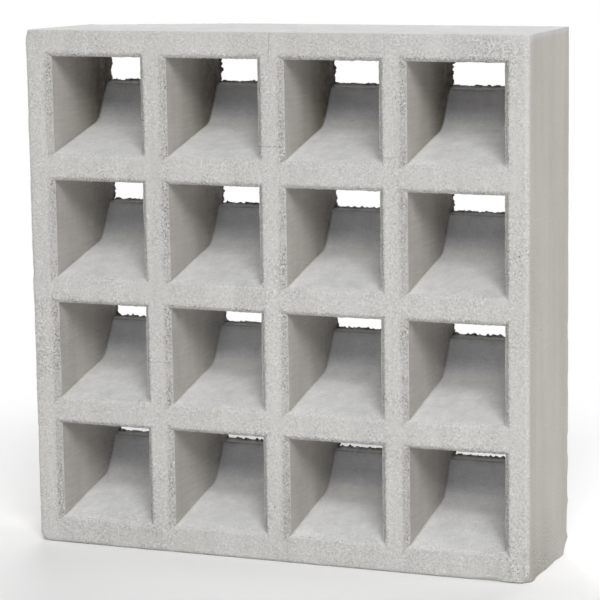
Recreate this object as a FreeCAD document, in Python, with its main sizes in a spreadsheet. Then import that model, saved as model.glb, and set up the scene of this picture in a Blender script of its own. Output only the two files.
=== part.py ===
"""Concrete screen block: a square block, four openings wide and four high, cast in one piece.

Every opening is wide at the front face and steps up to a low slot at the back face, so that
air and light pass through while rain that blows in runs back out over the sloping sill.

Frame: +Z up, +X across the face, front face towards -Y, origin at the middle of the bed.
All sizes are in millimetres.
"""

import FreeCAD, Part
import os

import Sketcher

NODE = "screen_block"
START, END, CENTRE = 1, 2, 3  # the point numbers that a sketch constraint uses
ORIGIN = (-1, 1)  # a sketch's own origin, as (geometry, point)

# alias, value, meaning
DIMENSIONS = [
    ("block_width", 390.0, "overall size across the face"),
    ("block_height", 390.0, "overall size from bed to top"),
    ("block_depth", 100.0, "front face to back face"),
    ("front_arris_radius", 4.0, "rounding of the outer edges of the front face"),
    ("columns", 4, "openings across"),
    ("rows", 4, "openings up"),
    ("rim_left", 20.5, "concrete beside the left openings"),
    ("rim_right", 18.0, "concrete beside the right openings"),
    ("rim_top", 20.0, "concrete over the top openings"),
    ("rim_bottom", 20.0, "concrete under the bottom openings"),
    ("web_across", 20.5, "mullion between two openings"),
    ("web_up", 20.0, "bar between two openings"),
    ("bevel", 3.4, "bevel round the head and jambs of each opening"),
    ("side_draft", 1.5, "how far each jamb closes in from front to back"),
    ("ceiling_drop", 1.0, "how far the head drops from front to back"),
    ("nose_radius", 2.0, "rounding of the sill's front edge"),
    ("sill_run", 68.0, "depth over which the sill rises by sill_rise"),
    ("sill_rise", 17.0, "rise of the sill over sill_run"),
    ("foot_radius", 14.0, "hollow where the sill turns up into the ramp"),
    ("ramp_run", 13.0, "depth over which the ramp rises by ramp_rise"),
    ("ramp_rise", 23.5, "rise of the ramp over ramp_run"),
    ("ledge_depth", 10.0, "ledge between the ramp and the back face"),
    ("ledge_rise", 2.0, "rise of the ledge towards the back face"),
    ("slot_height", 23.5, "height of the slot in the back face"),
    ("overshoot", 10.0, "how far the cutting shapes run past both faces"),
]

# Sizes that follow from the driving ones.
OPENING_WIDTH = (
    "(Sizes.block_width - Sizes.rim_left - Sizes.rim_right"
    " - (Sizes.columns - 1) * Sizes.web_across) / Sizes.columns"
)
OPENING_HEIGHT = (
    "(Sizes.block_height - Sizes.rim_bottom - Sizes.rim_top"
    " - (Sizes.rows - 1) * Sizes.web_up) / Sizes.rows"
)


def make_sheet(doc):
    """Write the driving dimensions, one to a row, with an alias on each value."""
    sheet = doc.addObject("Spreadsheet::Sheet", "Sizes")
    for row, (alias, value, meaning) in enumerate(DIMENSIONS, start=1):
        sheet.set(f"A{row}", alias)
        sheet.set(f"B{row}", str(value))
        sheet.set(f"C{row}", meaning)
        sheet.setAlias(f"B{row}", alias)
    doc.recompute()
    return sheet


def bind(sketch, kind, *where_and_expression):
    """Add a dimension to a sketch and bind it to an expression in the sheet's aliases."""
    *where, expression = where_and_expression
    value = float(sketch.evalExpression(expression))
    number = sketch.addConstraint(Sketcher.Constraint(kind, *where, value))
    sketch.setExpression(f"Constraints[{number}]", expression)


def place_point(sketch, point, across, up):
    """Fix a point of the sketch at two expressions from the sketch's origin, both positive."""
    bind(sketch, "DistanceX", *ORIGIN, *point, across)
    bind(sketch, "DistanceY", *ORIGIN, *point, up)


def join(sketch, first, second):
    """Make two end points of a sketch one point."""
    sketch.addConstraint(Sketcher.Constraint("Coincident", *first, *second))


def located(sketch, across, up):
    """Give the sketch point that two expressions stand for, as the starting guess."""
    return FreeCAD.Vector(float(sketch.evalExpression(across)), float(sketch.evalExpression(up)), 0)


def add_line(sketch, start, end):
    """Add a line between two points given as pairs of expressions."""
    return sketch.addGeometry(Part.LineSegment(located(sketch, *start), located(sketch, *end)), False)


def add_polyline(sketch, corners):
    """Add joined lines through corners, each a pair of expressions that fixes the point."""
    lines = [add_line(sketch, *pair) for pair in zip(corners, corners[1:])]
    for before, after in zip(lines, lines[1:]):
        join(sketch, (before, END), (after, START))
    for line, corner in zip(lines, corners):
        place_point(sketch, (line, START), *corner)
    place_point(sketch, (lines[-1], END), *corners[-1])
    return lines


def make_blank(doc):
    """The plain block: its plan padded up from the bed, its four front arrises rounded."""
    body = doc.addObject("PartDesign::Body", "Blank")
    plane = next(f for f in body.Origin.OriginFeatures if f.Role == "XY_Plane")
    plan = body.newObject("Sketcher::SketchObject", "BlankPlan")
    plan.AttachmentSupport = [(plane, "")]
    plan.MapMode = "FlatFace"
    doc.recompute()
    half_width, half_depth = "Sizes.block_width / 2", "Sizes.block_depth / 2"
    corners = [(-1, -1), (1, -1), (1, 1), (-1, 1)]
    points = [
        located(plan, half_width, half_depth).scale(side, face, 0) for side, face in corners
    ]
    lines = [
        plan.addGeometry(Part.LineSegment(start, end), False)
        for start, end in zip(points, points[1:] + points[:1])
    ]
    for before, after in zip(lines, lines[1:] + lines[:1]):
        join(plan, (before, END), (after, START))
    front, right, back, left = lines
    for level in (front, back):
        plan.addConstraint(Sketcher.Constraint("Horizontal", level))
    for upright in (right, left):
        plan.addConstraint(Sketcher.Constraint("Vertical", upright))
    plan.addConstraint(Sketcher.Constraint("Symmetric", front, START, back, START, *ORIGIN))
    bind(plan, "DistanceX", front, START, front, END, "Sizes.block_width")
    bind(plan, "DistanceY", right, START, right, END, "Sizes.block_depth")

    pad = body.newObject("PartDesign::Pad", "BlankPad")
    pad.Profile = plan
    pad.setExpression("Length", "Sizes.block_height")
    doc.recompute()

    face_y = pad.Shape.BoundBox.YMin
    front_edges = [
        f"Edge{number}"
        for number, edge in enumerate(pad.Shape.Edges, start=1)
        if edge.BoundBox.YMax - face_y < 1e-6
    ]
    rounding = body.newObject("PartDesign::Fillet", "FrontArrises")
    rounding.Base = (pad, front_edges)
    rounding.setExpression("Radius", "Sizes.front_arris_radius")
    body.Tip = rounding
    return body


def make_column_plan(doc, columns):
    """Plan of every column of openings: bevelled jambs that close in towards the back.

    Measured from the block's left side, and from a line the overshoot in front of its face.
    """
    plan = doc.addObject("Sketcher::SketchObject", "ColumnPlan")
    plan.setExpression("Placement.Base.x", "-Sizes.block_width / 2")
    plan.setExpression("Placement.Base.y", "-Sizes.block_depth / 2 - Sizes.overshoot")
    face, bevel_end = "Sizes.overshoot", "Sizes.overshoot + Sizes.bevel"
    back, beyond = "Sizes.overshoot + Sizes.block_depth", "2 * Sizes.overshoot + Sizes.block_depth"
    for column in range(columns):
        left = f"Sizes.rim_left + {column} * ({OPENING_WIDTH} + Sizes.web_across)"
        right = f"{left} + {OPENING_WIDTH}"
        corners = [
            (f"{left} - Sizes.bevel", "0"),
            (f"{left} - Sizes.bevel", face),
            (left, bevel_end),
            (f"{left} + Sizes.side_draft", back),
            (f"{left} + Sizes.side_draft", beyond),
            (f"{right} - Sizes.side_draft", beyond),
            (f"{right} - Sizes.side_draft", back),
            (right, bevel_end),
            (f"{right} + Sizes.bevel", face),
            (f"{right} + Sizes.bevel", "0"),
        ]
        lines = add_polyline(plan, corners)
        closing = add_line(plan, corners[-1], corners[0])
        join(plan, (lines[-1], END), (closing, START))
        join(plan, (closing, END), (lines[0], START))
    return plan


def add_row_profile(section, row):
    """Side profile of one row of openings: bevelled head, slot, ledge, ramp and sloping sill."""
    sill = f"Sizes.rim_bottom + {row} * ({OPENING_HEIGHT} + Sizes.web_up)"
    head = f"{sill} + {OPENING_HEIGHT}"
    face, back = "Sizes.overshoot", "Sizes.overshoot + Sizes.block_depth"
    beyond = "2 * Sizes.overshoot + Sizes.block_depth"
    slot_head = f"{head} - Sizes.ceiling_drop"
    slot_sill = f"{slot_head} - Sizes.slot_height"
    ledge = (f"{back} - Sizes.ledge_depth", f"{slot_sill} - Sizes.ledge_rise")
    ramp_end = (f"{ledge[0]} - Sizes.ramp_run", f"{ledge[1]} - Sizes.ramp_rise")
    sill_start = (f"{face} + Sizes.nose_radius", sill)
    sill_end = (f"{face} + Sizes.sill_run", f"{sill} + Sizes.sill_rise")
    corners = [
        ("0", f"{head} + Sizes.bevel"),
        (face, f"{head} + Sizes.bevel"),
        (f"{face} + Sizes.bevel", head),
        (back, slot_head),
        (beyond, slot_head),
        (beyond, slot_sill),
        (back, slot_sill),
        ledge,
    ]
    lines = add_polyline(section, corners)

    # The ramp passes through the ledge's front edge, the sill through the front face at its level.
    ramp = add_line(section, ledge, ramp_end)
    floor = add_line(section, sill_end, sill_start)
    join(section, (lines[-1], END), (ramp, START))
    guides = [(ramp, ramp_end), (floor, (face, sill)), (floor, sill_end)]
    for line, guide in guides:
        point = section.addGeometry(Part.Point(located(section, *guide)), True)
        place_point(section, (point, START), *guide)
        section.addConstraint(Sketcher.Constraint("PointOnObject", point, START, line))

    # The foot: a hollow that is tangent to ramp and sill.
    foot_radius = float(section.evalExpression("Sizes.foot_radius"))
    low, high = located(section, *sill_end), located(section, *ramp_end)
    foot_centre = low + FreeCAD.Vector(0, foot_radius, 0)
    foot = section.addGeometry(arc_between(foot_centre, foot_radius, low, high), False)
    section.addConstraint(Sketcher.Constraint("Tangent", foot, START, floor, START))
    section.addConstraint(Sketcher.Constraint("Tangent", foot, END, ramp, END))
    bind(section, "Radius", foot, "Sizes.foot_radius")

    # The nose: from the sill down to the front face, which it meets upright.
    nose_radius = float(section.evalExpression("Sizes.nose_radius"))
    top = located(section, *sill_start)
    nose_centre = top - FreeCAD.Vector(0, nose_radius, 0)
    lip = nose_centre - FreeCAD.Vector(nose_radius, 0, 0)
    nose = section.addGeometry(arc_between(nose_centre, nose_radius, top, lip), False)
    section.addConstraint(Sketcher.Constraint("Tangent", nose, START, floor, END))
    section.addConstraint(Sketcher.Constraint("Horizontal", nose, CENTRE, nose, END))
    bind(section, "DistanceX", *ORIGIN, nose, END, face)
    bind(section, "Radius", nose, "Sizes.nose_radius")

    out = section.addGeometry(Part.LineSegment(lip, FreeCAD.Vector(0, lip.y, 0)), False)
    join(section, (nose, END), (out, START))
    section.addConstraint(Sketcher.Constraint("Horizontal", out))
    closing = section.addGeometry(
        Part.LineSegment(FreeCAD.Vector(0, lip.y, 0), located(section, *corners[0])), False
    )
    join(section, (out, END), (closing, START))
    join(section, (closing, END), (lines[0], START))
    section.addConstraint(Sketcher.Constraint("Vertical", closing))


def arc_between(centre, radius, start, end):
    """An arc about centre, anticlockwise from the bearing of start to the bearing of end."""
    circle = Part.Circle(centre, FreeCAD.Vector(0, 0, 1), radius)
    return Part.ArcOfCircle(circle, circle.parameter(start), circle.parameter(end))


def make_row_section(doc, rows):
    """Section of every row of openings, seen from the block's right side.

    Measured from the bed, and from a line the overshoot in front of the front face.
    """
    section = doc.addObject("Sketcher::SketchObject", "RowSection")
    section.Placement.Rotation = FreeCAD.Rotation(
        FreeCAD.Vector(0, 1, 0), FreeCAD.Vector(0, 0, 1), FreeCAD.Vector(1, 0, 0)
    )
    section.setExpression("Placement.Base.x", "-Sizes.block_width / 2")
    section.setExpression("Placement.Base.y", "-Sizes.block_depth / 2 - Sizes.overshoot")
    for row in range(rows):
        add_row_profile(section, row)
    return section


def extrude(doc, name, sketch, direction, length):
    """Push a sketch's closed outlines along one axis into solids."""
    prism = doc.addObject("Part::Extrusion", name)
    prism.Base = sketch
    prism.DirMode = "Custom"
    prism.Dir = direction
    prism.Solid = True
    prism.setExpression("LengthFwd", length)
    return prism


def make_block(doc, blank, columns, rows):
    """Cut the openings, which are where the columns' prisms and the rows' prisms cross."""
    plan, section = make_column_plan(doc, columns), make_row_section(doc, rows)
    shafts = extrude(doc, "Shafts", plan, FreeCAD.Vector(0, 0, 1), "Sizes.block_height")
    tunnels = extrude(doc, "Tunnels", section, FreeCAD.Vector(1, 0, 0), "Sizes.block_width")
    openings = doc.addObject("Part::MultiCommon", "Openings")
    openings.Shapes = [shafts, tunnels]
    block = doc.addObject("Part::Cut", "ScreenBlock")
    block.Base = blank
    block.Tool = openings
    block.Label = NODE
    return block


def check(doc, block, columns, rows):
    """Stop if any object failed, or if the block isn't one sound solid with every opening cut."""
    failed = [o.Label for o in doc.Objects if {"Invalid", "Error"} & set(o.State)]
    if failed:
        raise RuntimeError(f"failed: {', '.join(failed)}")
    if block.Shape.isNull() or not block.Shape.isValid() or len(block.Shape.Solids) != 1:
        raise RuntimeError("the block isn't one sound solid")
    cut = block.Base.Shape.Volume - block.Shape.Volume
    if len(block.Tool.Shape.Solids) != columns * rows or cut <= 0:
        raise RuntimeError("an opening is missing")


def main():
    """Build the document and write the block's solid."""
    doc = FreeCAD.newDocument("ScreenBlock")
    sheet = make_sheet(doc)
    columns, rows = int(sheet.get("columns")), int(sheet.get("rows"))
    block = make_block(doc, make_blank(doc), columns, rows)
    doc.recompute()
    check(doc, block, columns, rows)
    os.makedirs("parts", exist_ok=True)
    block.Shape.exportStep(f"parts/{block.Label}.step")
    box = block.Shape.BoundBox
    print(f"{block.Label}: {box.XLength:.1f} x {box.YLength:.1f} x {box.ZLength:.1f} mm, "
          f"{block.Shape.Volume / 1e6:.3f} litres")


main()
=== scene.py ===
"""Looks of a precast concrete screen block with a grid of rain-shedding openings.

The block is cast in one piece. Its front face is sandy, the walls of its openings are smooth from
the mould, and the low slots at the back have crumbly lips. Lengths are in metres, +Z is up and the
front face looks along -Y, as in the CAD frame.
"""

from __future__ import annotations

import logging
import math
from dataclasses import dataclass, field
from enum import Enum

import bpy
import numpy as np
from mathutils import Matrix, Vector, noise

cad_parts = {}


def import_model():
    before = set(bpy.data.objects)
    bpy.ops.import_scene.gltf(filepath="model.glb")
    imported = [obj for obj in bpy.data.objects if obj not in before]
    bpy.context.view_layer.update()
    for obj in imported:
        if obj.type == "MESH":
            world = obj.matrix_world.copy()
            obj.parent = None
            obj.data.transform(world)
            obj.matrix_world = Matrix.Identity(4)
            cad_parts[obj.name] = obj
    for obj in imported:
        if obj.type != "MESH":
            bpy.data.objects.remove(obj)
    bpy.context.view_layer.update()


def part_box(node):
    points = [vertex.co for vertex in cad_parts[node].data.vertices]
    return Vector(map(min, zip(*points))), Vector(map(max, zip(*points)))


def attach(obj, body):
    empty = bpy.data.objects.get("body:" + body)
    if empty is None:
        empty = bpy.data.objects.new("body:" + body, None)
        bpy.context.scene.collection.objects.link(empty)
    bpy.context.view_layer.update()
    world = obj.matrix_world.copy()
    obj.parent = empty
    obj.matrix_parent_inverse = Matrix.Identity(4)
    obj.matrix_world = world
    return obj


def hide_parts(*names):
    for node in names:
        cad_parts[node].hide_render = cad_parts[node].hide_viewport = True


LOG = logging.getLogger("screen_block")
NODE = "screen_block"
MM = 0.001

# Columns of what each point carries, after its tint's three; column 4 is its streak.
GRAIN, EDGE, CRUMB = 3, 5, 6


class Zone(Enum):
    """The surfaces of the block that were finished differently."""

    FACE = "front face"
    BEVEL = "bevel round a mouth"
    JAMB = "upright wall of an opening"
    HEAD = "underside over an opening"
    SILL = "sloping floor of an opening"
    RAMP = "steep end of the floor"
    LEDGE = "ledge in front of a slot"
    SIDE = "side of the block"
    TOP = "top of the block"
    BED = "underside of the block"
    BACK = "back face"


@dataclass(frozen=True)
class Finish:
    """How one zone of the concrete looks.

    Attributes:
        tint: linear colour of the concrete.
        grain: how sandy the surface is, from 0 to 1.
        streak: how strongly the mould left level streaks, from 0 to 1.
    """

    tint: tuple[float, float, float]
    grain: float
    streak: float


FINISHES: dict[Zone, Finish] = {
    Zone.FACE: Finish((0.535, 0.528, 0.511), 1.0, 0.0),
    Zone.BEVEL: Finish((0.468, 0.460, 0.440), 2.2, 0.0),
    # The jambs' tint is warmer than the face's: painted warm light from the right.
    Zone.JAMB: Finish((0.485, 0.466, 0.437), 0.2, 1.0),
    Zone.HEAD: Finish((0.470, 0.455, 0.430), 0.3, 0.4),
    Zone.SILL: Finish((0.650, 0.650, 0.642), 0.3, 0.9),
    # The ramp's bluer tint is painted cool light in its shade.
    Zone.RAMP: Finish((0.600, 0.600, 0.628), 0.35, 0.9),
    Zone.LEDGE: Finish((0.330, 0.324, 0.310), 1.0, 0.0),
    # The side's warm tint is painted warm light from the right.
    Zone.SIDE: Finish((0.515, 0.490, 0.452), 0.35, 0.0),
    # The top's tint is paler than the face's: painted light from above.
    Zone.TOP: Finish((0.605, 0.605, 0.600), 0.5, 0.0),
    Zone.BED: Finish((0.500, 0.495, 0.480), 0.6, 0.0),
    Zone.BACK: Finish((0.500, 0.490, 0.470), 1.0, 0.0),
}


@dataclass(frozen=True)
class Chip:
    """A place on an arris or corner where concrete has broken or worn away.

    Attributes:
        place: middle of the chip, as shares of the block's width, depth and height from its
            front lower left corner.
        radius: reach of the chip.
        depth: how far the break lies inside the sharp arris or corner.
    """

    place: tuple[float, float, float]
    radius: float
    depth: float

    def inward(self) -> np.ndarray:
        """Return the direction from the arris or corner into the block."""
        into = np.array([(share < 0.03) * 1.0 - (share > 0.97) * 1.0 for share in self.place])
        return into / np.linalg.norm(into)


CHIPS: tuple[Chip, ...] = (
    Chip((1.00, 1.00, 0.00), 26 * MM, 6.0 * MM),
    Chip((1.00, 1.00, 0.06), 12 * MM, 2.2 * MM),
    Chip((1.00, 1.00, 0.13), 9 * MM, 1.3 * MM),
    Chip((1.00, 1.00, 0.21), 11 * MM, 1.2 * MM),
    Chip((1.00, 1.00, 0.33), 6 * MM, 0.9 * MM),
    Chip((1.00, 1.00, 0.43), 9 * MM, 1.1 * MM),
    Chip((1.00, 1.00, 0.60), 8 * MM, 0.8 * MM),
    Chip((1.00, 0.30, 0.00), 16 * MM, 1.6 * MM),
    Chip((1.00, 0.66, 0.00), 12 * MM, 1.1 * MM),
    Chip((1.00, 0.00, 0.00), 20 * MM, 4.6 * MM),
    Chip((0.92, 0.00, 0.00), 14 * MM, 2.2 * MM),
    Chip((0.55, 0.00, 0.00), 12 * MM, 1.5 * MM),
    Chip((0.30, 0.00, 0.00), 16 * MM, 1.4 * MM),
    Chip((1.00, 0.00, 1.00), 16 * MM, 3.2 * MM),
    Chip((0.00, 0.00, 1.00), 16 * MM, 3.4 * MM),
    Chip((0.00, 0.00, 0.90), 14 * MM, 1.9 * MM),
    Chip((0.00, 0.00, 0.73), 9 * MM, 1.8 * MM),
    Chip((0.00, 0.00, 0.55), 12 * MM, 1.9 * MM),
    Chip((0.00, 0.00, 0.36), 9 * MM, 2.0 * MM),
    Chip((0.00, 0.00, 0.22), 12 * MM, 1.8 * MM),
    Chip((0.00, 0.00, 0.00), 16 * MM, 4.0 * MM),
    Chip((0.00, 1.00, 1.00), 14 * MM, 3.0 * MM),
    Chip((0.00, 1.00, 0.48), 10 * MM, 1.4 * MM),
)


@dataclass(frozen=True)
class Patch:
    """A patch of a face where the sand lies bare.

    Attributes:
        place: middle of the patch, as shares of the block's width, depth and height.
        radius: reach of the patch.
        grain: how much sandier it is at its middle.
    """

    place: tuple[float, float, float]
    radius: float
    grain: float


PATCHES: tuple[Patch, ...] = (
    Patch((0.93, 0.00, 0.965), 22 * MM, 1.0),
    Patch((0.96, 0.00, 0.05), 42 * MM, 0.3),
    Patch((1.00, 0.36, 0.00), 50 * MM, 1.8),
    Patch((0.20, 0.00, 0.02), 50 * MM, 0.6),
    Patch((0.03, 0.00, 0.40), 50 * MM, 0.5),
    Patch((0.50, 0.00, 0.52), 34 * MM, 0.5),
    Patch((0.74, 0.00, 0.27), 34 * MM, 0.5),
    Patch((0.97, 0.00, 0.55), 60 * MM, 0.5),
)


@dataclass(frozen=True)
class Hairline:
    """A casting seam or shrinkage crack in the front face.

    Attributes:
        upright: whether it runs up the face instead of across it.
        at: its place across the block from the middle, or its level above the bed.
        start: where it starts along its run.
        end: where it ends along its run.
        strength: how dark it is.
    """

    upright: bool
    at: float
    start: float
    end: float
    strength: float


HAIRLINES: tuple[Hairline, ...] = (
    Hairline(True, 1 * MM, 368 * MM, 392 * MM, 0.3),
    Hairline(True, 10 * MM, -2 * MM, 19 * MM, 0.2),
    Hairline(False, 308 * MM, -10 * MM, 11 * MM, 0.4),
    Hairline(False, 303 * MM, 83 * MM, 104 * MM, 0.22),
    Hairline(False, 145 * MM, -103 * MM, -82 * MM, 0.3),
    Hairline(False, 171 * MM, 176 * MM, 192 * MM, 0.2),
    Hairline(False, 307 * MM, -194 * MM, -184 * MM, 0.2),
)


@dataclass(frozen=True)
class BlockSizes:
    """Driving sizes of the block; its overall size comes from the CAD frame."""

    low: Vector
    high: Vector
    columns: int = 4
    rows: int = 4
    rim_left: float = 20.5 * MM
    rim_right: float = 18.0 * MM
    rim_end: float = 20.0 * MM
    web_across: float = 20.5 * MM
    web_up: float = 20.0 * MM
    bevel: float = 3.4 * MM
    side_draft: float = 1.5 * MM
    head_drop: float = 1.0 * MM
    sill_slope: float = 17.0 / 68.0
    foot_radius: float = 14.0 * MM
    ramp_slope: float = 23.5 / 13.0
    ledge_depth: float = 10.0 * MM
    ledge_rise: float = 2.0 * MM
    slot_height: float = 23.5 * MM
    nose_radius: float = 2.0 * MM
    lip: float = 0.5 * MM
    worn_head: float = 1.0 * MM
    worn_head_reach: float = 10.0 * MM
    worn_ledge: float = 0.8 * MM
    top_sag: float = 2.3 * MM
    top_sag_share: float = 0.36
    top_sag_reach: float = 12.0 * MM
    front_arris: float = 4.0 * MM
    back_arris: float = 1.2 * MM

    @property
    def depth(self) -> float:
        """Front face to back face."""
        return self.high.y - self.low.y

    @property
    def opening_width(self) -> float:
        """Clear width of an opening behind its bevel."""
        clear = self.high.x - self.low.x - self.rim_left - self.rim_right
        return (clear - (self.columns - 1) * self.web_across) / self.columns

    @property
    def opening_height(self) -> float:
        """Height of an opening behind its bevel, from the sill's front edge."""
        clear = self.high.z - self.low.z - 2 * self.rim_end
        return (clear - (self.rows - 1) * self.web_up) / self.rows

    def opening(self, column: int, row: int) -> "Opening":
        """Return the opening in a column, counted from the left, and a row, from the bed."""
        left = self.low.x + self.rim_left + column * (self.opening_width + self.web_across)
        sill = self.low.z + self.rim_end + row * (self.opening_height + self.web_up)
        return Opening(self, left, sill, 0.0 if row == self.rows - 1 else self.worn_ledge)


@dataclass(frozen=True)
class Opening:
    """One opening: a bevelled mouth, a sill that rises to a ramp, a ledge and a slot.

    Attributes:
        sizes: the block's driving sizes.
        left: where its left jamb starts behind the bevel.
        sill: level of the sill's front edge.
        worn: how far the ledge's back edge has worn down.
    """

    sizes: BlockSizes
    left: float
    sill: float
    worn: float

    @property
    def head(self) -> float:
        """Level of the head behind its bevel."""
        return self.sill + self.sizes.opening_height

    def flare(self, depth: float) -> float:
        """Return how far jambs and head stand back from their plain line at a depth."""
        size = self.sizes
        front = max(0.0, size.bevel - depth) + size.lip * max(0.0, 1 - depth / size.lip) ** 2
        behind = size.depth - depth
        return front + size.lip * max(0.0, 1 - behind / size.lip) ** 2

    def inset(self, depth: float) -> float:
        """Return how far the draft has closed a jamb in at a depth."""
        size = self.sizes
        return size.side_draft * max(0.0, depth - size.bevel) / (size.depth - size.bevel)

    def head_at(self, depth: float) -> float:
        """Return the level of the head at a depth."""
        size = self.sizes
        drop = size.head_drop * depth / size.depth
        worn = size.worn_head * math.exp(-max(0.0, depth - size.bevel) / size.worn_head_reach)
        return self.head - drop + max(self.flare(depth), worn)

    def floor_at(self, depth: float) -> float:
        """Return the level of the floor at a depth.

        Args:
            depth: distance behind the front face.

        Returns:
            The level of the nose, sill, foot, ramp or ledge there.
        """
        size = self.sizes
        slot_sill = self.head - size.head_drop - size.slot_height
        ledge_start = size.depth - size.ledge_depth
        ledge_level = slot_sill - size.ledge_rise
        behind = size.depth - depth
        if depth >= ledge_start:
            rise = (size.ledge_rise - self.worn) * (depth - ledge_start) / size.ledge_depth
            return ledge_level + rise - size.lip * max(0.0, 1 - behind / size.lip) ** 2
        sill = self.sill + size.sill_slope * depth
        ramp = ledge_level - size.ramp_slope * (ledge_start - depth)
        level = self.foot(depth, sill, ramp, ledge_start, ledge_level)
        if depth < size.nose_radius:
            across = size.nose_radius - depth
            level -= size.nose_radius - math.sqrt(size.nose_radius**2 - across**2)
        return level

    def foot(
        self, depth: float, sill: float, ramp: float, ledge_start: float, ledge_level: float
    ) -> float:
        """Return the floor's level with the hollow between sill and ramp.

        Args:
            depth: distance behind the front face.
            sill: level of the sill's line there.
            ramp: level of the ramp's line there.
            ledge_start: depth of the ledge's front edge.
            ledge_level: level of the ledge's front edge.

        Returns:
            The level of whichever of sill, hollow and ramp is there.
        """
        size = self.sizes
        turn = math.atan(size.ramp_slope) - math.atan(size.sill_slope)
        reach = size.foot_radius * math.tan(turn / 2)
        fall = ledge_level - size.ramp_slope * ledge_start - self.sill
        corner = fall / (size.sill_slope - size.ramp_slope)
        low = corner - reach * math.cos(math.atan(size.sill_slope))
        high = corner + reach * math.cos(math.atan(size.ramp_slope))
        if depth <= low:
            return sill
        if depth >= high:
            return ramp
        lean = math.atan(size.sill_slope)
        middle = low - size.foot_radius * math.sin(lean)
        base = self.sill + size.sill_slope * low + size.foot_radius * math.cos(lean)
        return base - math.sqrt(size.foot_radius**2 - (depth - middle) ** 2)

    def corners(self, depth: float) -> tuple[float, float, float, float]:
        """Return the left, right, floor and head of the opening at a depth."""
        left = self.left + self.inset(depth) - self.flare(depth)
        right = self.left + self.sizes.opening_width - self.inset(depth) + self.flare(depth)
        return left, right, self.floor_at(depth), self.head_at(depth)


class Patchwork:
    """Collects grids of points, welds them where they meet and keeps what each point carries."""

    COLUMNS = CRUMB + 1

    def __init__(self) -> None:
        """Start with no points."""
        self.points: list[np.ndarray] = []
        self.carried: list[np.ndarray] = []
        self.faces: list[np.ndarray] = []
        self.count = 0

    def add(self, points: np.ndarray, carried: np.ndarray, keep: np.ndarray | None = None) -> None:
        """Add a grid of points as quads.

        Args:
            points: rows by columns by 3, seen from outside with rows going up and columns right.
            carried: rows by columns by COLUMNS.
            keep: which quads to make; all of them if left out.
        """
        rows, columns = points.shape[:2]
        index = self.count + np.arange(rows * columns).reshape(rows, columns)
        quads = np.stack([index[:-1, :-1], index[:-1, 1:], index[1:, 1:], index[1:, :-1]], axis=-1)
        self.faces.append(quads[keep] if keep is not None else quads.reshape(-1, 4))
        self.points.append(points.reshape(-1, 3))
        self.carried.append(carried.reshape(-1, self.COLUMNS))
        self.count += rows * columns

    def weld(self) -> tuple[np.ndarray, np.ndarray, np.ndarray]:
        """Weld points that coincide.

        Returns:
            The points, what they carry, and the quads.
        """
        points, carried = np.concatenate(self.points), np.concatenate(self.carried)
        faces = np.concatenate(self.faces)
        keys = np.round(points * 1e6).astype(np.int64)
        _, first, inverse = np.unique(keys, axis=0, return_index=True, return_inverse=True)
        inverse = inverse.reshape(-1)
        used = np.zeros(len(first), dtype=bool)
        faces = inverse[faces]
        used[faces.reshape(-1)] = True
        total = np.zeros((len(first), self.COLUMNS))
        np.add.at(total, inverse, carried)
        merged = total / np.bincount(inverse)[:, None]
        edge = np.zeros((len(first), 2))
        np.maximum.at(edge, inverse, carried[:, EDGE:])
        merged[:, EDGE:] = edge
        renumber = np.cumsum(used) - 1
        return points[first][used], merged[used], renumber[faces]


@dataclass(frozen=True)
class WallFinish:
    """How the finish of an opening's walls changes from its mouth to its slot.

    A reach is how far something spreads, and a start, span or end is a share of the depth. Some fields
    paint light or shade into the walls' tint: the lips' and jambs' shade, the sill's front and the
    head's bevel.
    """

    arris_reach: float = 1.0 * MM
    lip_reach: float = 5.0 * MM
    # Painted shade: the walls darken towards the back face, where the lips lie.
    lip_painted_shade: float = 0.4
    rough_start: float = 0.5
    rough_span: float = 0.4
    rough_grain: float = 1.3
    # Painted shade: the jambs darken towards the slot, more in blue than in red.
    shade_start: float = 0.25
    shade_span: float = 0.5
    jamb_painted_shade: tuple[float, float, float] = (0.42, 0.45, 0.50)
    crumb: float = 0.6
    crumb_base: float = 0.4
    crumb_delay: float = 0.15
    ramp_start: float = 0.78
    sill_end: float = 0.7
    sill_sand: float = 0.9
    sill_sand_reach: float = 24.0 * MM
    # Painted light: the sill is paler near its front edge, fading inwards.
    sill_painted_light: float = 0.20
    sill_painted_light_reach: float = 44.0 * MM
    nose_turn: float = 2.5 * MM
    nose_wear: float = 0.3
    ledge_reach: float = 1.2 * MM
    ledge_crumb: float = 0.25
    head_crumb: float = 0.15
    # Painted light: the bevel over each mouth is paler than the head behind it.
    head_painted_light: float = 1.12


@dataclass(frozen=True)
class Wear:
    """How far surfaces and arrises have worn back.

    Wear is in millimetres and reaches are in metres. A rate is how quickly wear varies.
    """

    broad: float = 0.2
    arris: float = 0.35
    crumb: float = 1.8
    wavy: float = 0.9
    wavy_reach: float = 8.0 * MM
    broad_rate: float = 22.0
    ragged_rate: float = 730.0
    wavy_rate: float = 75.0
    chip_rate: float = 180.0
    front_reach: float = 3.0 * MM
    back_reach: float = 2.0 * MM


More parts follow.
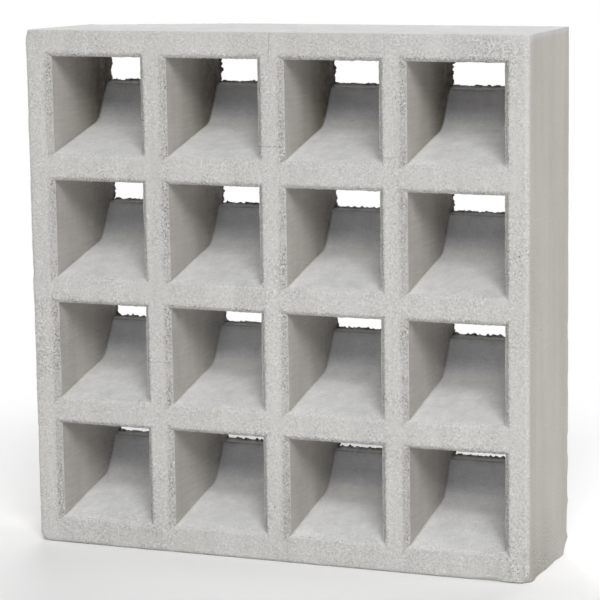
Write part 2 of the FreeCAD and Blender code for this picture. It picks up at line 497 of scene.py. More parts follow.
@dataclass
class ScreenBlock:
    """The cast block.

    Attributes:
        sizes: the block's driving sizes.
        across: quads across an opening.
        up: quads up an opening.
        web: quads across a web or rim.
        chips: where its arrises and corners are broken.
        patches: where its sand lies bare.
        shade_and_crumble: how much painted shade darkens the jambs of each row towards the slot, and
            how crumbly they get there, from the bed up.
        looks: how the finish of the openings' walls, and the light and shade painted on them, change
            with depth.
        wear: how far its surfaces have worn back.
        depths: depths of the rings of an opening's walls, in millimetres.
    """

    sizes: BlockSizes
    across: int = 36
    up: int = 18
    web: int = 7
    chips: tuple[Chip, ...] = CHIPS
    patches: tuple[Patch, ...] = PATCHES
    # Painted shade darkens the jambs of the top rows towards the slot; the same numbers make those
    # jambs crumblier.
    shade_and_crumble: tuple[float, ...] = (0.0, 0.0, 0.3, 1.0)
    looks: WallFinish = WallFinish()
    wear: Wear = Wear()
    depths: tuple[float, ...] = field(
        default=(
            0, 0.06, 0.25, 0.5, 1.2, 2.0, 2.9, 3.4, 4.0, 5.5, 8.5, 13, 19, 26, 34, 42, 50, 57,
            62.5, 66.5, 69.5, 72, 74.2, 76.2, 78.3, 80.5, 83, 85.5, 88, 89.6, 90.2, 91.2, 93.5,
            96.5, 98.6, 99.5, 99.8, 100,
        )
    )

    def carry(self, zone: Zone, shape: tuple[int, ...]) -> np.ndarray:
        """Return what points of a zone carry, in a given shape, away from any edge."""
        finish = FINISHES[zone]
        values = [*finish.tint, finish.grain, finish.streak, 0.0, 0.0]
        return np.tile(np.array(values), (*shape, 1))

    def ring(self, opening: Opening, depth: float) -> np.ndarray:
        """Return the points round an opening at a depth, clockwise from its lower left corner.

        Args:
            opening: the opening.
            depth: distance behind the front face.

        Returns:
            The closed loop's points, its first repeated as its last.
        """
        left, right, floor, head = opening.corners(depth)
        rise = np.linspace(floor, head, self.up + 1)
        run = np.linspace(left, right, self.across + 1)
        up, across = self.up, self.across
        x = [np.full(up, left), run[:-1], np.full(up, right), run[:0:-1], [left]]
        z = [rise[:-1], np.full(across, head), rise[:0:-1], np.full(across, floor), [floor]]
        x, z = np.concatenate(x), np.concatenate(z)
        return np.stack([x, np.full_like(x, self.sizes.low.y + depth), z], axis=-1)

    def tunnel(self, work: Patchwork, opening: Opening, shade_and_crumble: float) -> None:
        """Add the walls of one opening to the patchwork.

        Args:
            work: the patchwork.
            opening: the opening.
            shade_and_crumble: how much painted shade darkens its jambs towards the slot, and how
                crumbly they get, from 0 to 1.
        """
        depths = [d * MM for d in self.depths]
        points = np.stack([self.ring(opening, depth) for depth in depths])
        sides = [Zone.JAMB] * self.up + [Zone.HEAD] * self.across
        sides += [Zone.JAMB] * self.up + [Zone.SILL] * self.across + [Zone.JAMB]
        carried = np.stack([self.round_opening(sides, depth, shade_and_crumble) for depth in depths])
        work.add(points, carried)

    def round_opening(self, sides: list[Zone], depth: float, shade_and_crumble: float) -> np.ndarray:
        """Return what the points of a ring carry.

        Args:
            sides: the zone of each point further in.
            depth: the ring's distance behind the front face.
            shade_and_crumble: how much painted shade darkens the jambs towards the slot, and how
                crumbly they get.

        Returns:
            One row of values for each point.
        """
        size, looks = self.sizes, self.looks
        share = depth / size.depth
        ledge_start = size.depth - size.ledge_depth
        jamb, head, floor = (
            np.array([zone is kind for zone in sides])
            for kind in (Zone.JAMB, Zone.HEAD, Zone.SILL)
        )
        values = np.array([self.carry(self.zone_at(zone, depth), ()) for zone in sides])
        arrises = (0.0, size.bevel, size.depth)
        worn = max(math.exp(-abs(depth - at) / looks.arris_reach) for at in arrises)
        values[:, EDGE] = worn
        behind = max(0.0, 1 - (size.depth - depth) / looks.lip_reach)
        values[:, CRUMB] = behind
        # Painted shade: the walls darken near the back face.
        values[:, :GRAIN] *= 1 - looks.lip_painted_shade * behind

        rough = min(1.0, max(0.0, (share - looks.rough_start) / looks.rough_span))
        values[jamb, GRAIN] += looks.rough_grain * rough
        # Painted shade: the jambs darken towards the slot, most in the top rows.
        dark = np.array(looks.jamb_painted_shade) * shade_and_crumble
        inward = min(1.0, max(0.0, (share - looks.shade_start) / looks.shade_span))
        values[jamb, :GRAIN] *= 1 - dark * inward
        crumbly = looks.crumb * (looks.crumb_base + (1 - looks.crumb_base) * shade_and_crumble)
        values[jamb, CRUMB] = max(behind, crumbly * max(0.0, rough - looks.crumb_delay))

        near = max(0.0, 1 - depth / looks.sill_sand_reach)
        values[floor, GRAIN] = max(values[floor, GRAIN].max(), looks.sill_sand * near)
        if share < looks.sill_end:
            face, sill = (np.array(FINISHES[zone].tint) for zone in (Zone.FACE, Zone.SILL))
            # Painted light: the sill is paler towards its front edge; the nose blends from the face's
            # tint.
            sill = sill * (1 + looks.sill_painted_light * max(0.0, 1 - depth / looks.sill_painted_light_reach))
            turned = min(1.0, depth / looks.nose_turn)
            values[floor, :GRAIN] = face * (1 - turned) + sill * turned
        ledge_arris = math.exp(-abs(depth - ledge_start) / looks.ledge_reach)
        values[floor, EDGE] = max(worn, ledge_arris) if depth > size.bevel else looks.nose_wear
        values[floor, CRUMB] = max(behind, looks.ledge_crumb * ledge_arris)

        # Painted light: the head's bevel is made paler.
        if depth < size.bevel:
            values[head, :GRAIN] *= looks.head_painted_light
        head_arris = math.exp(-abs(depth - size.bevel) / looks.ledge_reach)
        values[head, CRUMB] = max(behind, looks.head_crumb * head_arris)
        return values

    def zone_at(self, zone: Zone, depth: float) -> Zone:
        """Return the zone that a wall's finish comes from at a depth.

        Args:
            zone: the wall: jamb, head or sill.
            depth: distance behind the front face.

        Returns:
            The wall's own zone, or that of the bevel, face, ledge or ramp.
        """
        size = self.sizes
        if depth < size.bevel:
            return Zone.FACE if zone is Zone.SILL else Zone.BEVEL
        if zone is not Zone.SILL:
            return zone
        if depth >= size.depth - size.ledge_depth:
            return Zone.LEDGE
        return Zone.RAMP if depth > self.looks.ramp_start * size.depth else zone

    def lines(
        self, edge: float, spans: list[tuple], limits: tuple[float, float], steps: int
    ) -> np.ndarray:
        """Return grid lines across the block, dense over each opening and each web.

        Args:
            edge: distance from the limits at which the first and last inner lines lie.
            spans: where each opening starts and ends.
            limits: the block's own limits.
            steps: quads across an opening.

        Returns:
            The positions of the lines, from one limit less its edge to the other.
        """
        stops = [limits[0] + edge, *(v for span in spans for v in span), limits[1] - edge]
        parts = []
        for number, (start, end) in enumerate(zip(stops, stops[1:])):
            count = steps if number % 2 else self.web
            parts.append(np.linspace(start, end, count + 1)[:-1])
        return np.concatenate([*parts, stops[-1:]])

    def plate(self, work: Patchwork, depth: float, arris: float, zone: Zone) -> tuple:
        """Add the front or back face, with its openings left out.

        Args:
            work: the patchwork.
            depth: distance of the face behind the front face.
            arris: radius of the rounding round the face.
            zone: the face's zone.

        Returns:
            The face's grid lines across and up.
        """
        size = self.sizes
        ends = [size.opening(c, 0).corners(depth) for c in range(size.columns)]
        tall = [size.opening(0, r).corners(depth) for r in range(size.rows)]
        x = self.lines(arris, [e[:2] for e in ends], (size.low.x, size.high.x), self.across)
        z = self.lines(arris, [e[2:] for e in tall], (size.low.z, size.high.z), self.up)
        across, up = np.meshgrid(x, z)
        points = np.stack([across, np.full_like(across, size.low.y + depth), up], axis=-1)
        column = np.arange(len(x) - 1) % (self.web + self.across) >= self.web
        row = np.arange(len(z) - 1) % (self.web + self.up) >= self.web
        keep = ~(row[:, None] & column[None, :])
        carried = self.carry(zone, points.shape[:2])
        if depth > 0:
            points, carried, keep = points[:, ::-1], carried[:, ::-1], keep[:, ::-1]
        work.add(points, carried, keep)
        return x, z

    def skin(self, work: Patchwork, front: tuple, back: tuple) -> None:
        """Add the sides, top and bed, with the rounding at the front and back arrises.

        Args:
            work: the patchwork.
            front: the front face's grid lines across and up.
            back: the back face's grid lines across and up.
        """
        size = self.sizes
        loops, rows = [], []
        wrapped = 0.75 * size.front_arris
        for depth, inset in self.stations():
            share = depth / size.depth
            x = front[0] * (1 - share) + back[0] * share
            z = front[1] * (1 - share) + back[1] * share
            x[0], x[-1] = size.low.x + inset, size.high.x - inset
            z[0], z[-1] = size.low.z + inset, size.high.z - inset
            left, right = np.full(len(z), x[0]), np.full(len(z) - 1, x[-1])
            bed, top = np.full(len(x) - 1, z[0]), np.full(len(x) - 1, z[-1])
            loop_x = np.concatenate([x[:-1], right, x[:0:-1], left])
            loop_z = np.concatenate([bed, z[:-1], top, z[::-1]])
            loops.append(np.stack([loop_x, np.full_like(loop_x, size.low.y + depth), loop_z], axis=-1))
            zones = [Zone.BED] * (len(x) - 1) + [Zone.SIDE] * (len(z) - 1)
            zones += [Zone.TOP] * (len(x) - 1) + [Zone.SIDE] * len(z)
            values = np.array([self.carry(zone, ()) for zone in zones])
            if depth < wrapped:
                values[:, :EDGE] = self.carry(Zone.FACE, ())[:EDGE]
            near_front = math.exp(-depth / self.wear.front_reach)
            near_back = math.exp(-(size.depth - depth) / self.wear.back_reach)
            values[:, EDGE] = max(near_front, near_back)
            rows.append(values)
        work.add(np.stack(loops), np.stack(rows))

    def stations(self) -> list[tuple[float, float]]:
        """Return the depths of the outer skin's rings and how far each stands in."""
        size = self.sizes
        stations = []
        for step in range(6):
            angle = math.radians(18 * step)
            depth, inset = 1 - math.cos(angle), 1 - math.sin(angle)
            stations.append((size.front_arris * depth, size.front_arris * inset))
        for share in (0.08, 0.14, 0.22, 0.32, 0.44, 0.56, 0.68, 0.8, 0.88, 0.93, 0.965):
            stations.append((share * size.depth, 0.0))
        for step in range(4):
            angle = math.radians(30 * step)
            behind, inset = 1 - math.sin(angle), 1 - math.cos(angle)
            stations.append((size.depth - size.back_arris * behind, size.back_arris * inset))
        return stations

    def worn(self, points: np.ndarray, normals: np.ndarray, carried: np.ndarray) -> np.ndarray:
        """Wear the surface back along its normals and break its chips off.

        Args:
            points: the points of the sharp block.
            normals: the outward normals there.
            carried: what the points carry.

        Returns:
            The worn points, none of them outside the sharp block's box.
        """
        low, high = np.array(self.sizes.low), np.array(self.sizes.high)
        rules = self.wear
        wear = np.zeros(len(points))
        for number, point in enumerate(points):
            place = Vector(point)
            broad = 0.5 + 0.5 * noise.noise(place * rules.broad_rate)
            ragged = max(0.0, 0.3 + 1.3 * noise.noise(place * rules.ragged_rate))
            edge, crumb = carried[number, EDGE], carried[number, CRUMB]
            worn = rules.broad * broad + rules.arris * edge * ragged + rules.crumb * crumb * ragged
            across = min(place.x - low[0], high[0] - place.x)
            if min(across, place.z - low[2], high[2] - place.z) < rules.wavy_reach:
                worn += rules.wavy * edge * max(0.0, noise.noise(place * rules.wavy_rate))
            wear[number] = worn
        moved = points - normals * (wear * MM)[:, None]
        self.sag(moved)
        for chip in self.chips:
            corner = low + np.array(chip.place) * (high - low)
            away = np.linalg.norm(moved - corner, axis=1) / chip.radius
            near = np.flatnonzero(away < 1)
            rough = np.array([noise.noise(Vector(moved[n]) * rules.chip_rate) for n in near])
            reach = np.clip(2.5 * (1 - away[near]), 0, 1) * (1 + 0.35 * rough)
            push = np.clip(chip.depth * reach - (moved[near] - corner) @ chip.inward(), 0, None)
            moved[near] += push[:, None] * chip.inward()
        return np.clip(moved, low, high)

    def sag(self, points: np.ndarray) -> None:
        """Let the top fall a little towards its back left corner, as it was trowelled."""
        low, high = np.array(self.sizes.low), np.array(self.sizes.high)
        share = (points - low) / (high - low)
        leftward = np.clip(1 - share[:, 0] / self.sizes.top_sag_share, 0, 1)
        near_top = np.clip(1 - (high[2] - points[:, 2]) / self.sizes.top_sag_reach, 0, 1)
        points[:, 2] -= self.sizes.top_sag * leftward * share[:, 1] * near_top

    def bare(self, points: np.ndarray, carried: np.ndarray) -> None:
        """Make the patches where the sand lies bare sandier."""
        low, high = np.array(self.sizes.low), np.array(self.sizes.high)
        for patch in self.patches:
            middle = low + np.array(patch.place) * (high - low)
            away = np.linalg.norm(points - middle, axis=1) / patch.radius
            carried[:, GRAIN] += patch.grain * np.clip(1.3 * (1 - away), 0, 1)

    def build(self) -> bpy.types.Object:
        """Build the worn block.

        Returns:
            The block's object, with its attributes and material.
        """
        size = self.sizes
        work = Patchwork()
        front = self.plate(work, 0.0, size.front_arris, Zone.FACE)
        back = self.plate(work, size.depth, size.back_arris, Zone.BACK)
        self.skin(work, front, back)
        for column in range(size.columns):
            for row in range(size.rows):
                self.tunnel(work, size.opening(column, row), self.shade_and_crumble[row])
        points, carried, faces = work.weld()
        mesh = bpy.data.meshes.new("cast_block")
        mesh.from_pydata(points.tolist(), [], faces.tolist())
        mesh.update()
        normals = np.array([v.vector for v in mesh.vertex_normals])
        mesh.vertices.foreach_set("co", self.worn(points, normals, carried).ravel())
        mesh.update()
        mesh.shade_smooth()
        mesh.set_sharp_from_angle(angle=math.radians(38))
        self.bare(points, carried)
        self.write_attributes(mesh, carried)
        piece = bpy.data.objects.new("cast_block", mesh)
        bpy.context.scene.collection.objects.link(piece)
        LOG.info("cast_block: %d quads", len(faces))
        return piece

    @staticmethod
    def write_attributes(mesh: bpy.types.Mesh, carried: np.ndarray) -> None:
        """Store tint, grain, streak, edge and crumb on the mesh's points."""
        tint = mesh.attributes.new("tint", "FLOAT_COLOR", "POINT")
        rgba = np.concatenate([carried[:, :GRAIN], np.ones((len(carried), 1))], axis=1)
        tint.data.foreach_set("color", rgba.ravel())
        for column, name in enumerate(("grain", "streak", "edge", "crumb"), start=GRAIN):
            layer = mesh.attributes.new(name, "FLOAT", "POINT")
            layer.data.foreach_set("value", np.ascontiguousarray(carried[:, column]))


class NodeSheet:
    """A node tree that is wired up in short statements."""

    def __init__(self, tree: bpy.types.NodeTree) -> None:
        """Clear the tree and keep it."""
        self.tree = tree
        tree.nodes.clear()

    def add(self, kind: str, inputs: dict | None = None, **settings: object) -> bpy.types.Node:
        """Add a node.

        Args:
            kind: the node's type.
            inputs: value or source socket for each input, by name or number.
            settings: properties of the node.

        Returns:
            The new node.
        """
        node = self.tree.nodes.new(kind)
        for name, value in settings.items():
            setattr(node, name, value)
        for name, value in (inputs or {}).items():
            socket = node.inputs[name]
            if isinstance(value, bpy.types.NodeSocket):
                self.tree.links.new(value, socket)
            else:
                socket.default_value = value
        return node

    def maths(self, operation: str, *values: object) -> bpy.types.NodeSocket:
        """Add a Math node and return its result."""
        node = self.add("ShaderNodeMath", dict(enumerate(values)), operation=operation)
        return node.outputs[0]

    def value(self, name: str) -> bpy.types.NodeSocket:
        """Return a number that the mesh carries."""
        return self.add("ShaderNodeAttribute", attribute_name=name).outputs["Fac"]


@dataclass(frozen=True)
class LipGrains:
    """Grains of sand that cling to the crumbly lips of the slots.

    Attributes:
        name: the piece's name.
        density: grains to a square metre where a lip is at its crumbliest.
        small: least radius of a grain along any axis.
        large: greatest radius of a grain along any axis.
        seed: fixes where the grains lie.
        keen: how crumbly a place is before grains cling to it.
        full_turn: a whole turn in radians, the most that a grain is turned.
    """

    name: str = "lip_grains"
    density: float = 960_000.0
    small: float = 0.25 * MM
    large: float = 0.68 * MM
    seed: int = 11
    keen: float = 0.5
    full_turn: float = 6.28

    def tree(self) -> bpy.types.NodeTree:
        """Build the node tree that scatters the grains.

        Returns:
            A tree that turns the block into the grains on its lips.
        """
        tree = bpy.data.node_groups.new(self.name, "GeometryNodeTree")
        kinds = {
            "Block": "Geometry",
            "Grains per area": "Float",
            "Smallest": "Float",
            "Largest": "Float",
            "Seed": "Int",
            "Low": "Vector",
            "High": "Vector",
            "Finish": "Material",
        }
        for name, kind in kinds.items():
            tree.interface.new_socket(name, in_out="INPUT", socket_type=f"NodeSocket{kind}")
        tree.interface.new_socket("Grains", in_out="OUTPUT", socket_type="NodeSocketGeometry")
        sheet = NodeSheet(tree)
        given = sheet.add("NodeGroupInput").outputs
        crumb = sheet.add("GeometryNodeInputNamedAttribute", {"Name": "crumb"}, data_type="FLOAT")
        keen = sheet.maths("SUBTRACT", crumb.outputs[0], self.keen)
        keen = sheet.maths("MAXIMUM", keen, 0.0)
        spread = sheet.add(
            "GeometryNodeDistributePointsOnFaces",
            {
                "Mesh": given["Block"],
                "Density": sheet.maths("MULTIPLY", keen, given["Grains per area"]),
                "Seed": given["Seed"],
            },
            distribute_method="RANDOM",
        )
        sizes = {0: given["Smallest"], 1: given["Largest"], "Seed": given["Seed"]}
        scale = sheet.add("FunctionNodeRandomValue", sizes, data_type="FLOAT_VECTOR")
        turns = {0: (0.0, 0.0, 0.0), 1: (self.full_turn,) * 3, "Seed": given["Seed"]}
        turn = sheet.add("FunctionNodeRandomValue", turns, data_type="FLOAT_VECTOR")
        ball = sheet.add("GeometryNodeMeshIcoSphere", {"Radius": 1.0, "Subdivisions": 1})
        placed = sheet.add(
            "GeometryNodeInstanceOnPoints",
            {
                "Points": spread.outputs["Points"],
                "Instance": ball.outputs["Mesh"],
                "Rotation": turn.outputs[0],
                "Scale": scale.outputs[0],
            },
        )
        real = sheet.add("GeometryNodeRealizeInstances", {"Geometry": placed.outputs[0]})
        place = sheet.add("GeometryNodeInputPosition").outputs[0]
        limits = {0: place, 1: given["Low"]}
        above = sheet.add("ShaderNodeVectorMath", limits, operation="MAXIMUM")
        limits = {0: above.outputs[0], 1: given["High"]}
        below = sheet.add("ShaderNodeVectorMath", limits, operation="MINIMUM")
        kept = {"Geometry": real.outputs[0], "Position": below.outputs[0]}
        held = sheet.add("GeometryNodeSetPosition", kept)
        last = {"Geometry": held.outputs[0], "Material": given["Finish"]}
        dressed = sheet.add("GeometryNodeSetMaterial", last)
        sheet.add("NodeGroupOutput", {"Grains": dressed.outputs[0]})
        return tree

    def build(self, block: bpy.types.Object, finish: bpy.types.Material) -> bpy.types.Object:
        """Scatter the grains and turn them into a plain mesh.

        Args:
            block: the block whose lips they cling to.
            finish: their material.

        Returns:
            The grains' object.
        """
        tree = self.tree()
        holder = bpy.data.objects.new("holder", block.data.copy())
        bpy.context.scene.collection.objects.link(holder)
        modifier = holder.modifiers.new("grains", "NODES")
        modifier.node_group = tree
        corners = np.array([vertex.co for vertex in block.data.vertices])
        values = {
            "Grains per area": self.density,
            "Smallest": self.small,
            "Largest": self.large,
            "Seed": self.seed,
            "Low": corners.min(axis=0).tolist(),
            "High": corners.max(axis=0).tolist(),
            "Finish": finish,
        }
        for socket in tree.interface.items_tree:
            if socket.in_out == "INPUT" and socket.name in values:
                modifier[socket.identifier] = values[socket.name]
        graph = bpy.context.evaluated_depsgraph_get()
        mesh = bpy.data.meshes.new_from_object(
            holder.evaluated_get(graph), preserve_all_data_layers=True, depsgraph=graph
        )
        holder.modifiers.remove(modifier)
        bpy.data.objects.remove(holder)
        mesh.name = self.name
        piece = bpy.data.objects.new(self.name, mesh)
        bpy.context.scene.collection.objects.link(piece)
        LOG.info("%s: %d faces", self.name, len(mesh.polygons))
        return piece


@dataclass(frozen=True)
class Concrete:
    """Cast concrete whose tint, sandiness and streaks come from what the mesh carries.

    A tone is how strongly something varies the tint. Blotches are a sixth of the stains' size.
    """

    name: str = "cast_concrete"
    sand_size: float = 1.5 * MM
    pit_spacing: float = 9.0 * MM
    streak_size: float = 2.2 * MM
    flow_size: float = 16.0 * MM
    stain_size: float = 45.0 * MM
    sand_tone: float = 0.78
    smooth_tone: float = 0.08
    stain_tone: float = 0.16
    blotch_tone: float = 0.08
    streak_tone: float = 0.3
    flow_tone: float = 0.3
    # Painted shade: how much darker the pits are painted.
    pit_painted_shade: float = 0.45
    # The next three set the mottled darkening of crumbly places, partly dirt and partly painted shade.
    dirt_shade_contrast: float = 2.8
    dirt_shade_level: float = 2.1
    dirt_shade_most: float = 0.8
    relief: float = 0.7
    relief_depth: float = 0.6 * MM
    hairlines: tuple[Hairline, ...] = HAIRLINES

    def material(self) -> bpy.types.Material:
        """Build the material.

        Returns:
            The concrete, which reads Object coordinates and the mesh's attributes.
        """
        material = bpy.data.materials.new(self.name)
        material.use_nodes = True
        sheet = NodeSheet(material.node_tree)
        place = sheet.add("ShaderNodeTexCoord").outputs["Object"]
        streak, crumb = sheet.value("streak"), sheet.value("crumb")
        sand = self.noise(sheet, place, self.sand_size, 3.0)
        fine = self.noise(sheet, place, self.sand_size / 2.4, 2.0)
        stain = self.noise(sheet, place, self.stain_size, 4.0)
        blotch = self.noise(sheet, place, self.stain_size / 6, 3.0)
        lines = self.streaks(sheet, place)
        pits = self.pits(sheet, place)
        cracks = self.cracks(sheet, place)
        uneven = sheet.maths("MULTIPLY_ADD", sheet.maths("ADD", blotch, stain), 2.6, -1.6)
        uneven = sheet.maths("MAXIMUM", uneven, 0.15)
        grain = sheet.maths("MULTIPLY", sheet.value("grain"), uneven)

        spread = sheet.maths("MULTIPLY_ADD", grain, self.sand_tone, self.smooth_tone)
        speckle = sheet.maths("MULTIPLY", sheet.maths("SUBTRACT", sand, 0.5), spread)
        speck = sheet.maths("MULTIPLY", sheet.maths("SUBTRACT", fine, 0.5), spread)
        level = sheet.maths("ADD", sheet.maths("ADD", speckle, speck), 1.0)
        for source, tone in ((stain, self.stain_tone), (blotch, self.blotch_tone)):
            level = sheet.maths("MULTIPLY_ADD", sheet.maths("SUBTRACT", source, 0.5), tone, level)
        lined = sheet.maths("MULTIPLY", sheet.maths("SUBTRACT", lines, 0.5), streak)
        level = sheet.maths("MULTIPLY_ADD", lined, self.streak_tone, level)
        flow = sheet.maths("SUBTRACT", self.flow(sheet, place), 0.5)
        level = sheet.maths("MULTIPLY_ADD", flow, self.flow_tone, level)
        # Painted shade in the pits: they are darkened, more where the surface is sandier.
        darker = sheet.maths("MULTIPLY_ADD", grain, self.pit_painted_shade, 0.1)
        hollow = sheet.maths("MULTIPLY", pits, darker)
        level = sheet.maths("SUBTRACT", level, hollow)
        level = sheet.maths("MULTIPLY", level, sheet.maths("SUBTRACT", 1.0, cracks))
        # Mottled darkening where crumbly: partly dirt, partly painted shade on the slots' lips and
        # their grains.
        sandy = sheet.maths("MULTIPLY", sand, self.dirt_shade_contrast)
        mottled = sheet.maths("MULTIPLY_ADD", blotch, self.dirt_shade_contrast, sandy)
        dirt_and_shade = sheet.maths("MULTIPLY", crumb, sheet.maths("SUBTRACT", mottled, self.dirt_shade_level))
        dirt_and_shade = sheet.maths("MINIMUM", sheet.maths("MAXIMUM", dirt_and_shade, 0.0), self.dirt_shade_most)
        level = sheet.maths("MULTIPLY", level, sheet.maths("SUBTRACT", 1.0, dirt_and_shade))
        tint = sheet.add("ShaderNodeAttribute", attribute_name="tint").outputs["Color"]
        colour = sheet.add("ShaderNodeVectorMath", {0: tint}, operation="SCALE")
        sheet.tree.links.new(level, colour.inputs["Scale"])

        rough = sheet.maths("ADD", grain, 0.1)
        height = sheet.maths("MULTIPLY", sheet.maths("ADD", sand, fine), rough)
        height = sheet.maths("SUBTRACT", height, sheet.maths("MULTIPLY", pits, grain))
        height = sheet.maths("SUBTRACT", height, cracks)
        height = sheet.maths("MULTIPLY_ADD", sheet.maths("MULTIPLY", lines, streak), 0.25, height)
        relief = {"Strength": self.relief, "Distance": self.relief_depth, "Height": height}
        bump = sheet.add("ShaderNodeBump", relief)
        dull = sheet.maths("MULTIPLY_ADD", sand, 0.12, 0.82)
        shader = sheet.add(
            "ShaderNodeBsdfPrincipled",
            {
                "Base Color": colour.outputs[0],
                "Roughness": dull,
                "Specular IOR Level": 0.25,
                "Normal": bump.outputs[0],
            },
        )
        sheet.add("ShaderNodeOutputMaterial", {"Surface": shader.outputs[0]})
        return material

    @staticmethod
    def noise(
        sheet: NodeSheet, place: bpy.types.NodeSocket, size: float, detail: float
    ) -> bpy.types.NodeSocket:
        """Return noise whose blobs have a given size."""
        settings = {"Vector": place, "Scale": 1 / size, "Detail": detail, "Roughness": 0.6}
        return sheet.add("ShaderNodeTexNoise", settings).outputs[0]

    def streaks(self, sheet: NodeSheet, place: bpy.types.NodeSocket) -> bpy.types.NodeSocket:
        """Return noise drawn out along the depth of the block."""
        drawn = sheet.add("ShaderNodeMapping", {"Vector": place, "Scale": (0.35, 0.09, 1.0)})
        return self.noise(sheet, drawn.outputs[0], self.streak_size, 3.0)

    def flow(self, sheet: NodeSheet, place: bpy.types.NodeSocket) -> bpy.types.NodeSocket:
        """Return noise drawn out up the block, as where wet concrete slid down the mould."""
        drawn = sheet.add("ShaderNodeMapping", {"Vector": place, "Scale": (1.0, 1.0, 0.06)})
        return self.noise(sheet, drawn.outputs[0], self.flow_size, 3.0)

    def pits(self, sheet: NodeSheet, place: bpy.types.NodeSocket) -> bpy.types.NodeSocket:
        """Return up to 1 in scattered small pits of uneven size and 0 elsewhere."""
        spacing = {"Vector": place, "Scale": 1 / self.pit_spacing, "Randomness": 1.0}
        cell = sheet.add("ShaderNodeTexVoronoi", spacing)
        pick = sheet.add("ShaderNodeSeparateColor", {0: cell.outputs["Color"]}).outputs
        reach = sheet.maths("MULTIPLY_ADD", pick[1], 0.09, 0.03)
        near = {0: cell.outputs["Distance"], 1: 0.02, 2: reach, 3: 1.0, 4: 0.0}
        inside = sheet.add("ShaderNodeMapRange", near).outputs[0]
        chosen = sheet.maths("GREATER_THAN", pick[0], 0.62)
        return sheet.maths("MULTIPLY", inside, chosen)

    def cracks(self, sheet: NodeSheet, place: bpy.types.NodeSocket) -> bpy.types.NodeSocket:
        """Return how dark the hairlines in the front face are at each place.

        Args:
            sheet: the material's nodes.
            place: Object coordinates.

        Returns:
            A hairline's strength on it and 0 elsewhere.
        """
        axes = sheet.add("ShaderNodeSeparateXYZ", {0: place}).outputs
        wander = self.noise(sheet, place, 6 * MM, 3.0)
        drift = sheet.maths("MULTIPLY", sheet.maths("SUBTRACT", wander, 0.5), 4 * MM)
        total = sheet.maths("COMPARE", axes[1], 1.0, 0.001)
        for line in self.hairlines:
            over, along = (axes[0], axes[2]) if line.upright else (axes[2], axes[0])
            away = sheet.maths("SUBTRACT", sheet.maths("ADD", over, drift), line.at)
            away = sheet.maths("ABSOLUTE", away)
            thin = {0: away, 1: 0.1 * MM, 2: 0.5 * MM, 3: line.strength, 4: 0.0}
            on_line = sheet.add("ShaderNodeMapRange", thin).outputs[0]
            middle, half = (line.start + line.end) / 2, (line.end - line.start) / 2
            on_run = sheet.maths("COMPARE", along, middle, half)
            total = sheet.maths("MAXIMUM", total, sheet.maths("MULTIPLY", on_line, on_run))
        on_front = sheet.maths("COMPARE", axes[1], -50 * MM, 5 * MM)
        return sheet.maths("MULTIPLY", total, on_front)


@dataclass(frozen=True)
class Lamp:
    """A softbox.

    Attributes:
        name: the lamp's name.
        azimuth: its direction from the block in degrees, 0 in front and 90 on the right.
        elevation: its height above the level, in degrees.
        away: distance from the block's middle.
        wide: width of the softbox.
        high: height of the softbox.
        watts: its power.
    """

    name: str
    azimuth: float
    elevation: float
    away: float
    wide: float
    high: float
    watts: float

    def direction(self) -> Vector:
        """Return the direction from the block to the lamp."""
        turn, tilt = math.radians(self.azimuth), math.radians(self.elevation)
        level = math.cos(tilt)
        return Vector((math.sin(turn) * level, -math.cos(turn) * level, math.sin(tilt)))


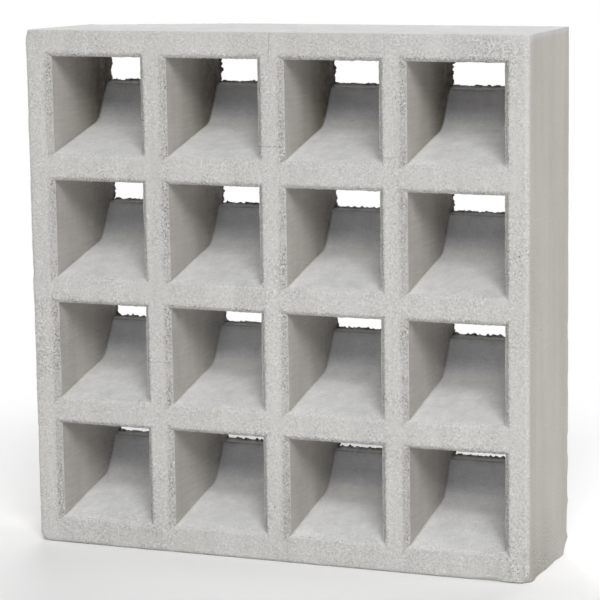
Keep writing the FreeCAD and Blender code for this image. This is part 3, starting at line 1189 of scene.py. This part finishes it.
@dataclass
class Studio:
    """Floor, light and camera.

    Attributes:
        low: lowest corner of the block.
        high: highest corner of the block.
        fill: strength of the even light from all round.
        lamps: the softboxes.
        fade_start: distance from the block's middle where the floor starts to fade to white.
        fade_end: distance where it is white.
        lens: focal length in millimetres on a 36 mm wide sensor.
        stand: where the camera stands; its angles are in degrees.
    """

    low: Vector
    high: Vector
    fill: float = 0.01
    floor_size: float = 14.0
    floor_tint: float = 0.93
    fade_start: float = 0.35
    fade_end: float = 0.7
    lamps: tuple[Lamp, ...] = (
        Lamp("key_softbox", 25.0, 37.0, 6.0, 3.2, 2.4, 299.0),
        Lamp("low_softbox", 10.0, -17.0, 0.5, 0.9, 0.08, 0.35),
        Lamp("right_softbox", 90.0, 45.0, 2.2, 0.8, 0.6, 11.0),
        Lamp("top_softbox", 180.0, 62.0, 2.2, 1.2, 0.8, 18.0),
        Lamp("back_softbox", -152.0, 4.0, 2.4, 0.8, 0.5, 34.0),
        Lamp("left_softbox", -98.0, 8.0, 2.4, 0.8, 0.5, 16.0),
    )
    lens: float = 156.07
    azimuth: float = 21.99
    elevation: float = 9.44
    roll: float = -0.83
    stand: Vector = field(default_factory=lambda: Vector((0.7178, -1.7713, 0.5060)))

    def light(self) -> None:
        """Place the softboxes and the world's even fill, which the camera sees as white."""
        middle = (self.low + self.high) / 2
        for lamp in self.lamps:
            data = bpy.data.lights.new(lamp.name, "AREA")
            data.shape, data.energy = "RECTANGLE", lamp.watts
            data.size, data.size_y = lamp.wide, lamp.high
            softbox = bpy.data.objects.new(lamp.name, data)
            softbox.visible_camera = False
            direction = lamp.direction()
            softbox.location = middle + direction * lamp.away
            softbox.rotation_euler = direction.to_track_quat("Z", "Y").to_euler()
            bpy.context.scene.collection.objects.link(softbox)
        world = bpy.data.worlds.new("studio")
        bpy.context.scene.world = world
        world.use_nodes = True
        sheet = NodeSheet(world.node_tree)
        seen = self.seen_directly(sheet)
        even = sheet.add("ShaderNodeBackground", {"Color": (1, 1, 1, 1), "Strength": self.fill})
        white = sheet.add("ShaderNodeBackground", {"Color": (1, 1, 1, 1), "Strength": 1.0})
        mixed = sheet.add("ShaderNodeMixShader", {0: seen, 1: even.outputs[0], 2: white.outputs[0]})
        sheet.add("ShaderNodeOutputWorld", {"Surface": mixed.outputs[0]})

    @staticmethod
    def seen_directly(sheet: NodeSheet) -> bpy.types.NodeSocket:
        """Return 1 for rays from the camera, mirrors and glass, and 0 for rays that carry light."""
        path = sheet.add("ShaderNodeLightPath").outputs
        seen = sheet.maths("MAXIMUM", path["Is Camera Ray"], path["Is Glossy Ray"])
        return sheet.maths("MAXIMUM", seen, path["Is Transmission Ray"])

    def floor(self) -> None:
        """Lay a pale floor that keeps the block's shadow and fades to white around it."""
        bpy.ops.mesh.primitive_plane_add(size=self.floor_size, location=(0, 0, self.low.z))
        floor = bpy.context.object
        floor.name = "floor"
        material = bpy.data.materials.new("pale_floor")
        material.use_nodes = True
        sheet = NodeSheet(material.node_tree)
        place = sheet.add("ShaderNodeTexCoord").outputs["Object"]
        away = sheet.add("ShaderNodeVectorMath", {0: place}, operation="LENGTH").outputs["Value"]
        edges = {0: away, 1: self.fade_start, 2: self.fade_end}
        fade = sheet.add("ShaderNodeMapRange", edges, interpolation_type="SMOOTHSTEP")
        seen = sheet.maths("MULTIPLY", fade.outputs[0], self.seen_directly(sheet))
        tint = (self.floor_tint,) * 3
        matt = sheet.add("ShaderNodeBsdfDiffuse", {"Color": (*tint, 1)})
        white = sheet.add("ShaderNodeEmission", {"Color": (1, 1, 1, 1), "Strength": 1.0})
        mixed = sheet.add("ShaderNodeMixShader", {0: seen, 1: matt.outputs[0], 2: white.outputs[0]})
        sheet.add("ShaderNodeOutputMaterial", {"Surface": mixed.outputs[0]})
        floor.data.materials.append(material)

    def camera(self) -> None:
        """Place the camera in front of the block, a little to its right and above it."""
        turn, tilt, roll = (math.radians(v) for v in (self.azimuth, self.elevation, self.roll))
        flat = math.cos(tilt)
        back = Vector((math.sin(turn) * flat, -math.cos(turn) * flat, math.sin(tilt)))
        level = Vector((math.cos(turn), math.sin(turn), 0))
        upright = back.cross(level)
        right = math.cos(roll) * level + math.sin(roll) * upright
        up = back.cross(right)
        data = bpy.data.cameras.new("camera")
        data.lens, data.sensor_width = self.lens, 36.0
        data.clip_start, data.clip_end = 0.05, 50.0
        camera = bpy.data.objects.new("camera", data)
        turned = Matrix((right, up, back)).transposed().to_4x4()
        camera.matrix_world = Matrix.Translation(self.stand) @ turned
        bpy.context.scene.collection.objects.link(camera)
        bpy.context.scene.camera = camera

    def build(self) -> None:
        """Set up the whole studio."""
        self.light()
        self.floor()
        self.camera()
        bpy.context.scene.view_settings.view_transform = "Standard"


def main() -> None:
    """Build the block and its studio on the CAD frame."""
    logging.basicConfig(level=logging.INFO, format="%(name)s: %(message)s")
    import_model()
    low, high = (Vector(corner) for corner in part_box(NODE))
    block = ScreenBlock(BlockSizes(low, high)).build()
    concrete = Concrete().material()
    block.data.materials.append(concrete)
    grains = LipGrains().build(block, concrete)
    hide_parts(NODE)
    for piece in (block, grains):
        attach(piece, "root")
    Studio(low, high).build()


if __name__ == "__main__":
    main()
